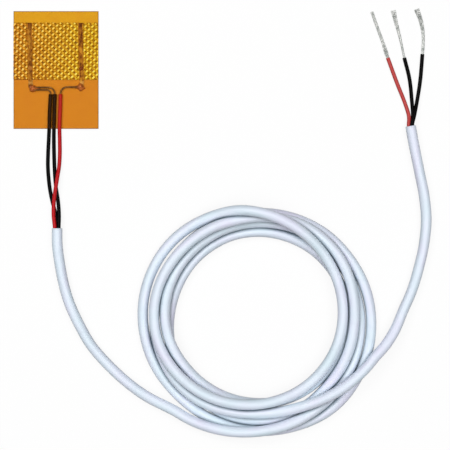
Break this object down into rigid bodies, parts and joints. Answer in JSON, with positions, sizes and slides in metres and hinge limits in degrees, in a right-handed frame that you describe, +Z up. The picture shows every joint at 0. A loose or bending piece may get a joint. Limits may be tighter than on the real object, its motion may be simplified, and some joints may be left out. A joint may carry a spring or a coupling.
{
  "type": "surface rtd sensor",
  "caption": "Flexible adhesive surface temperature sensor: a thin amber film patch with a woven sensing band, insulated leads and a coiled three-core cable with stripped ends.",
  "frame": {"origin": "centre of the patch's underside, on the surface that the patch is stuck to", "axes": "+Z up from that surface, +Y along the patch away from its leads, +X to the side on which the red lead leaves"},
  "size_m": [0.0933, 0.0956, 0.0056],
  "materials": {
    "adhesive": "satin",
    "amber_film": "gloss",
    "clear_film": "gloss",
    "woven_glass": "satin",
    "ribbon": "satin",
    "solder": "satin",
    "resistance_wire": "satin",
    "conductor": "satin",
    "black_insulation": "gloss",
    "red_insulation": "gloss",
    "faded_red_insulation": "gloss",
    "jacket": "satin",
    "tinned_copper": "satin"
  },
  "bodies": {
    "root": {"adhesive_backing": "adhesive", "base_film": "amber_film", "sense_wire": "resistance_wire", "glass_weave": "woven_glass", "left_ribbon": "ribbon", "right_ribbon": "ribbon", "left_ribbon_tack": "solder", "right_ribbon_tack": "solder", "left_solder_joint": "solder", "right_solder_joint": "solder", "cover_film": "clear_film", "black_conductor_1": "conductor", "black_conductor_2": "conductor", "red_conductor": "conductor", "black_lead_1": "black_insulation", "black_lead_2": "black_insulation", "red_lead": "red_insulation", "cable_lead_in": "jacket", "cable_coil": "jacket", "cable_lead_out": "jacket", "black_tail_1": "black_insulation", "black_tail_2": "black_insulation", "red_tail": "faded_red_insulation", "black_strands_1": "tinned_copper", "black_strands_2": "tinned_copper", "red_strands": "tinned_copper"}
  },
  "joints": []
}
